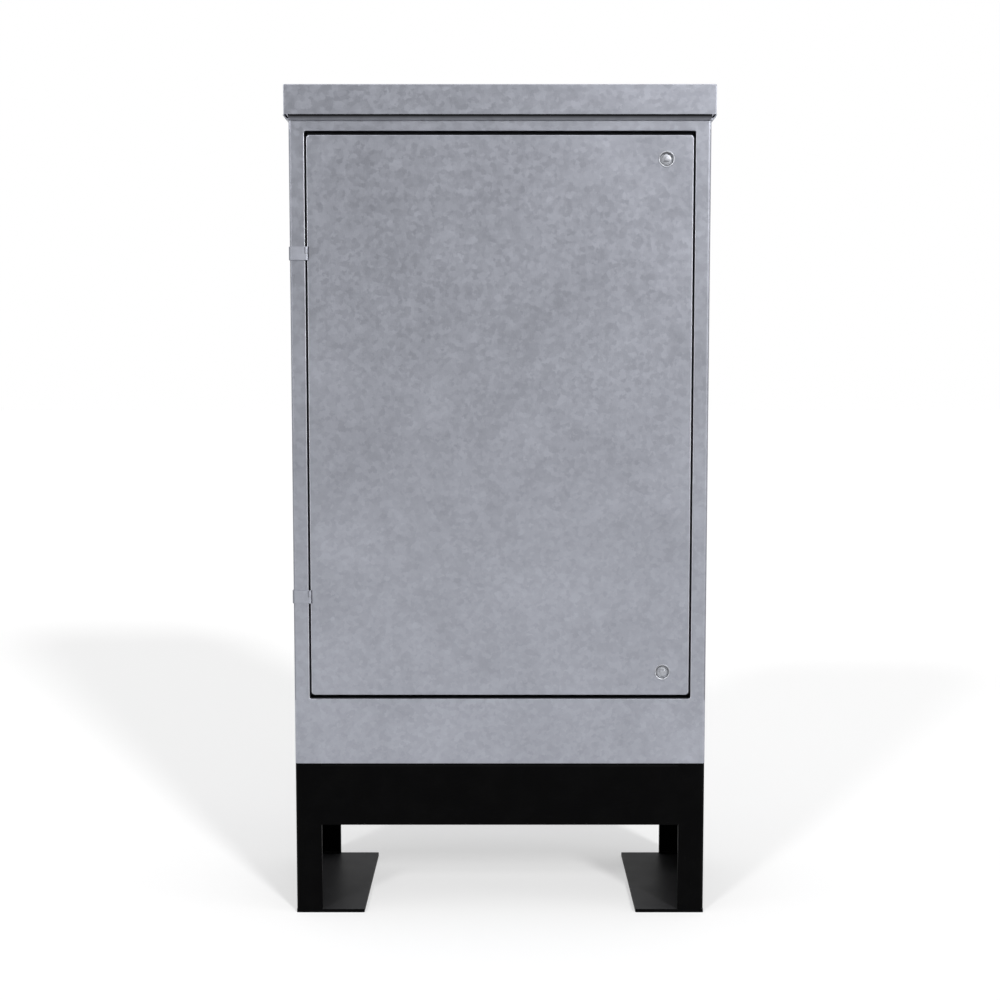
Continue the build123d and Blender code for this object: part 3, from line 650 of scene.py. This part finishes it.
def makeBolt(across, head, shank, length, pitch, plain=0.0):
    # the head's outer face is at 0 and the shank's end at length
    shape = fastenerShape
    face = across / 2 * shape["headFace"]
    corner, drop = hexCorner(across, face)
    profile = [(0.0, face), (drop, corner), (head, corner)]
    blank = turned("boltHead", profile, shape["hexSides"])
    cutFlats(blank, across, 6, hexHalfTurn)
    points = [(head - shape["sunk"], shank), (head + plain, shank)]
    points += thread(head + plain, length - shape["runOut"], shank, pitch)
    points += [(length - shape["end"], shank * shape["shoulder"]), (length, shank * shape["tip"])]
    return joined("hexBolt", [blank, turned("boltShank", points, shape["shankSides"])])


def makeStud(shank, length, pitch):
    shape = fastenerShape
    cap, tip = shape["cap"], shank * shape["tip"]
    points = [(0.0, tip), (cap, shank)] + thread(cap, length - cap, shank, pitch)
    return turned("stud", points + [(length - cap, shank), (length, tip)], shape["shankSides"])


def makeWasher(outer, inner, thick):
    # punched: rounded on one face, with a small burr land on the other
    burr = fastenerShape["burr"]
    curve = burr * fastenerShape["burrCurve"]
    profile = [(0.0, inner + burr), (0.0, outer - burr), (curve, outer - curve), (burr, outer)]
    profile += [(thick, outer), (thick, inner), (burr, inner)]
    return turned("washer", profile, fastenerShape["washerSides"], ring=True)


# Locks: dished rim, threaded body, thin nut and a turning head with a triangular drive

lock = {
    "side": 236.5,  # of the axis
    "front": -136.0,  # the rim's outer face
    "sunk": 3.5,  # the head's face behind the rim's
    "nutFace": -132.0,
    "rim": [(6.5, 7.46), (3.5, 7.46), (3.5, 8.45), (3.3, 8.72), (1.1, 9.15), (0.45, 9.7),
            (0.12, 10.25), (0.0, 10.75), (0.1, 11.15), (0.4, 11.43), (1.0, 11.5), (1.0, 8.6),
            (6.5, 8.6)],
    "neck": [(1.0, 8.55), (1.0, 9.6), (6.6, 9.6), (6.6, 8.55)],
    "body": {"start": 6.5, "end": 28.2, "inner": 6.06, "core": 9.6, "outer": 10.0,
             "pitch": 1.5, "runOut": 0.8, "taper": [(0.5, 0.75), (0.0, 1.2)], "flats": 18.0},
    "head": [(0.0, 6.6), (0.12, 7.1), (0.45, 7.4), (3.0, 7.4), (3.0, 6.0), (24.6, 6.0),
             (25.0, 5.6), (25.0, 4.94)],
    "square": {"side": 7.0, "start": 25.0, "end": 27.8, "round": 0.5, "steps": 2},
    "drive": {"corner": 5.0, "rise": 2.8, "root": 0.5, "side": 0.35, "sideSteps": 4,
              "lip": 0.30, "lipSteps": 3},
    "nut": {"across": 26.0, "hole": 10.0, "thick": 5.0},
    "rimSides": 96,
    "sides": 64,
}
lockPoints = {"upper": math.pi, "lower": 0.0}  # where each triangle points


def makeHousing():
    # the body starts behind the rim, so that the turning head has its room
    body = lock["body"]
    start, end, outer = body["start"], body["end"], body["outer"]
    rim = turned("lockRim", lock["rim"], lock["rimSides"], ring=True)
    outline = [(start, body["inner"]), (start, body["core"])]
    outline += thread(start, end - body["runOut"], outer, body["pitch"])
    outline += [(end - back, outer - deep) for back, deep in body["taper"]]
    tube = turned("lockBody", outline + [(end, body["inner"])], lock["sides"], ring=True)
    neck = turned("lockNeck", lock["neck"], lock["sides"], ring=True)
    for piece in (tube, neck):
        cutFlats(piece, body["flats"], 2, 0.0)
    return joined("lockHousing", [rim, tube, neck])


def makeInsert(apex):
    drive, square = lock["drive"], lock["square"]
    shaft = turned("insertShaft", lock["head"], lock["sides"])
    deselect()
    rise, root = drive["rise"], drive["root"]
    bpy.ops.mesh.primitive_cylinder_add(
        vertices=3, radius=drive["corner"], depth=rise + root,
        location=(0, 0, -rise / 2 + root / 2), rotation=(0, 0, apex))
    key = bpy.context.object
    bpy.ops.object.transform_apply(location=True, rotation=True, scale=True)
    bpy.ops.object.mode_set(mode="EDIT")
    pickEdges(key, lambda a, b: abs(a.z - b.z) > root)
    bpy.ops.mesh.bevel(offset=drive["side"], segments=drive["sideSteps"], affect="EDGES")
    pickEdges(key, lambda a, b: max(a.z, b.z) < -rise + same)
    bpy.ops.mesh.bevel(offset=drive["lip"], segments=drive["lipSteps"], affect="EDGES")
    bpy.ops.object.mode_set(mode="OBJECT")
    deselect()
    centre = (0, 0, (square["start"] + square["end"]) / 2)
    bpy.ops.mesh.primitive_cube_add(size=1, location=centre)
    end = bpy.context.object
    end.scale = (square["side"], square["side"], square["end"] - square["start"])
    bpy.ops.object.transform_apply(location=True, rotation=True, scale=True)
    bpy.ops.object.mode_set(mode="EDIT")
    bpy.ops.mesh.select_all(action="SELECT")
    bpy.ops.mesh.bevel(offset=square["round"], segments=square["steps"], affect="EDGES")
    bpy.ops.object.mode_set(mode="OBJECT")
    return joined("lockInsert", [shaft, key, end])


for place, apex in lockPoints.items():
    low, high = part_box(f"lock_housing_{place}")
    rise = (low[2] + high[2]) / 2 * perMetre
    spot = [(lock["side"], lock["front"], rise)]
    layAt(makeHousing(), f"lockHousing_{place}", spot, "back", f"lock_housing_{place}")
    spot = [(lock["side"], lock["front"] + lock["sunk"], rise)]
    layAt(makeInsert(apex), f"lockInsert_{place}", spot, "back", f"lock_insert_{place}")
    spot = [(lock["side"], lock["nutFace"], rise)]
    layAt(makeNut(**lock["nut"]), f"lockNut_{place}", spot, "back", f"lock_nut_{place}")
print("locks modelled")


# Fasteners laid where the CAD nodes have them

def islands(nodeName):
    # the low and the high corner of each separate solid of a node, in mm
    shape = bmesh.new()
    shape.from_mesh(frame["nodes"][nodeName].data)
    bmesh.ops.remove_doubles(shape, verts=shape.verts, dist=1e-6)
    left, found = set(shape.verts), []
    while left:
        group = {left.pop()}
        newest = set(group)
        while newest:
            newest = {e.other_vert(v) for v in newest for e in v.link_edges} - group
            group |= newest
        left -= group
        found.append([[f(v.co[k] for v in group) * perMetre for k in range(3)] for f in (min, max)])
    shape.free()
    return sorted(found)


fastenerSizes = {
    "boardBolt": (makeBolt, {
        "across": 13.0, "head": 5.3, "shank": 4.0, "length": 40.3, "pitch": 1.25, "plain": 6.0}),
    "rootBolt": (makeBolt, {
        "across": 16.0, "head": 6.4, "shank": 5.0, "length": 36.4, "pitch": 1.5, "plain": 3.0}),
    "camScrew": (makeBolt, {
        "across": 8.0, "head": 3.5, "shank": 2.5, "length": 16.5, "pitch": 0.8}),
    "smallNut": (makeNut, {"across": 13.0, "hole": 4.0, "thick": 6.5}),
    "rootNut": (makeNut, {"across": 16.0, "hole": 5.0, "thick": 8.0}),
    "boardWasher": (makeWasher, {"outer": 12.0, "inner": 4.2, "thick": 2.0}),
    "rootWasher": (makeWasher, {"outer": 10.0, "inner": 5.25, "thick": 2.0}),
    "smallWasher": (makeWasher, {"outer": 8.0, "inner": 4.2, "thick": 1.6}),
    "camWasher": (makeWasher, {"outer": 7.0, "inner": 2.65, "thick": 1.0}),
    "roofStud": (makeStud, {"shank": 4.0, "length": 18.0, "pitch": 1.25}),
    "earthStud": (makeStud, {"shank": 4.0, "length": 26.0, "pitch": 1.25}),
}
# the size of each node's fasteners and the way their axis points
fasteners = {
    "backboard_bolts": ("boardBolt", "back"),
    "backboard_nuts": ("smallNut", "back"),
    "backboard_washers": ("boardWasher", "back"),
    "root_bolts": ("rootBolt", "down"),
    "root_nuts": ("rootNut", "up"),
    "root_washers": ("rootWasher", "up"),
    "roof_nuts": ("smallNut", "up"),
    "roof_studs": ("roofStud", "up"),
    "roof_washers": ("smallWasher", "up"),
    "earth_nut_body": ("smallNut", "right"),
    "earth_nut_door": ("smallNut", "back"),
    "earth_stud_body": ("earthStud", "right"),
    "earth_stud_door": ("earthStud", "back"),
    "earth_washers_body": ("smallWasher", "right"),
    "earth_washers_door": ("smallWasher", "back"),
    "cam_screw_upper": ("camScrew", "front"),
    "cam_screw_lower": ("camScrew", "front"),
    "cam_washer_upper": ("camWasher", "front"),
    "cam_washer_lower": ("camWasher", "front"),
}
axisOf = {"right": 0, "back": 1, "front": 1, "up": 2, "down": 2}

for nodeName, (sizeName, way) in fasteners.items():
    spots = []
    for low, high in islands(nodeName):
        spot = [(a + b) / 2 for a, b in zip(low, high)]
        start = high if way in ("down", "front") else low
        spot[axisOf[way]] = start[axisOf[way]]
        spots.append(spot)
    maker, sizes = fastenerSizes[sizeName]
    words = nodeName.split("_")
    pieceName = words[0] + "".join(word.capitalize() for word in words[1:])
    layAt(maker(**sizes), pieceName, spots, way, nodeName)
print("fasteners modelled")


# Weld beads that hold the legs on their foot plates, under the coat

weld = {
    "radius": 3.2,
    "ripple": 0.35,
    "pitch": 2.4,
    "sides": 14,
    "tip": 0.8,  # radius at both ends
    "toe": (0.6, 0.8),  # how far in, and its share of the radius
    "run": 1.6,  # plain part at each end
}
# length, spots and way of each piece
beads = {
    "weldSideLeft": (252.0, [(-295.2, -126.0, 4.8)], "back"),
    "weldSideRight": (252.0, [(295.2, -126.0, 4.8)], "back"),
    "weldFlangesLeft": (28.0, [(-292.0, -130.2, 4.8), (-292.0, 130.2, 4.8)], "right"),
    "weldFlangesRight": (28.0, [(264.0, -130.2, 4.8), (264.0, 130.2, 4.8)], "right"),
}


def makeBead(length):
    radius, (toe, swell) = weld["radius"], weld["toe"]
    points = [(0.0, weld["tip"]), (toe, radius * swell)]
    along, step = weld["run"], 0
    while along < length - weld["run"]:
        points.append((along, radius - (weld["ripple"] if step % 2 else 0.0)))
        along += weld["pitch"] / 2
        step += 1
    points += [(length - toe, radius * swell), (length, weld["tip"])]
    return turned("weldBead", points, weld["sides"])


for beadName, (length, spots, way) in beads.items():
    layAt(makeBead(length), beadName, spots, way, "root_leg_left", replace=False)
print("weld beads laid")


# Camera: a long lens a little below the middle of the door, tipped down a touch

view = {"height": 0.7945, "back": 2.3515, "tip": 4.7285, "focal": 55.43, "sensor": 36, "far": 60}

camera = bpy.data.objects.new("studioCamera", bpy.data.cameras.new("studioCamera"))
bpy.context.scene.collection.objects.link(camera)
camera.location = (0, -view["back"], view["height"])
camera.rotation_euler = Euler((math.radians(90 - view["tip"]), 0, 0))
camera.data.lens = view["focal"]
camera.data.sensor_width = view["sensor"]
camera.data.clip_end = view["far"]
bpy.context.scene.camera = camera


# Floor: white to the camera and in reflections, and it keeps the shadow

ground = {
    "size": 60.0,
    "colour": 0.566,
    "glow": 0.445,
    "dim": 0.30,  # colour for the light it throws back on the pillar
}

deselect()
bpy.ops.mesh.primitive_plane_add(size=ground["size"], location=(0, 0, 0))
floor = bpy.context.object
floor.name = "studioFloor"
floorMaterial, r = newMaterial("paleFloor")
ray, gloss, through = r.rays()
seen = ray + gloss + through
shade = ground["dim"] + (ground["colour"] - ground["dim"]) * seen
matt = r.node("ShaderNodeBsdfDiffuse", {}, {"Color": shade})
sockets = {"Color": (1, 1, 1, 1), "Strength": ground["glow"] * seen}
glow = r.node("ShaderNodeEmission", {}, sockets)
both = r.node("ShaderNodeAddShader", {}, {0: matt, 1: glow})
r.node("ShaderNodeOutputMaterial", {}, {"Surface": both})
floor.data.materials.append(floorMaterial)


# Light: a soft lamp and a rim lamp from each side, one from above, and the room all round

lamps = {
    "rightLamp": {"turn": 27.0, "lift": 25.0, "spread": 7.0, "power": 2.1},
    "leftLamp": {"turn": -30.0, "lift": 31.0, "spread": 7.0, "power": 0.95},
    "rightRim": {"turn": 72.0, "lift": 12.0, "spread": 14.0, "power": 0.40},
    "leftRim": {"turn": -72.0, "lift": 12.0, "spread": 14.0, "power": 0.22},
    "topLamp": {"turn": 0.0, "lift": 80.0, "spread": 60.0, "power": 0.25},
}
lampReach = 3.0

for lampName, lamp in lamps.items():
    light = bpy.data.lights.new(lampName, "SUN")
    light.angle = math.radians(lamp["spread"])
    light.energy = lamp["power"]
    holder = bpy.data.objects.new(lampName, light)
    turn, lift = math.radians(lamp["turn"]), math.radians(lamp["lift"])
    flatOut = math.cos(lift)
    out = Vector((math.sin(turn) * flatOut, -math.cos(turn) * flatOut, math.sin(lift)))
    holder.location = out * lampReach
    holder.rotation_euler = out.to_track_quat("Z", "Y").to_euler()
    bpy.context.scene.collection.objects.link(holder)

# reflections see a dark wall behind the camera and white walls at the other three sides
room = {
    "level": 0.50,  # on matt surfaces
    "white": 1.0,
    "front": 0.06,
    "edge": (-0.970, -0.695),  # of the dark wall, as a direction along Y
    "lift": 0.15,  # the walls are lighter higher up
    "ceiling": (0.35, 0.80),
}

world = bpy.data.worlds.new("studioRoom")
bpy.context.scene.world = world
world.use_nodes = True
r = Recipe(world.node_tree)
ray, gloss, through = r.rays()
away = r.node("ShaderNodeTexCoord", out="Generated")
level = r.node("ShaderNodeVectorMath", {"operation": "MULTIPLY"}, {0: away, 1: (1.0, 1.0, 0.0)})
level = r.node("ShaderNodeVectorMath", {"operation": "NORMALIZE"}, {0: level})
height = r.part(away, "Z")
wall = r.spread(r.part(level, "Y"), room["edge"], (room["front"], room["white"]), "SMOOTHSTEP")
ceiling = r.spread(height, room["ceiling"], (0.0, room["white"]), "SMOOTHSTEP")
wall = r.maths("MAXIMUM", wall + room["lift"] * height, ceiling)
strength = room["level"] * (1.0 - ray - gloss - through) + ray * room["white"]
strength = strength + wall * (gloss + through)
backdrop = r.node("ShaderNodeBackground", {}, {"Color": (1, 1, 1, 1), "Strength": strength})
r.node("ShaderNodeOutputWorld", {}, {"Surface": backdrop})

bpy.context.scene.view_settings.view_transform = "Standard"
print("camera, floor and lamps set")
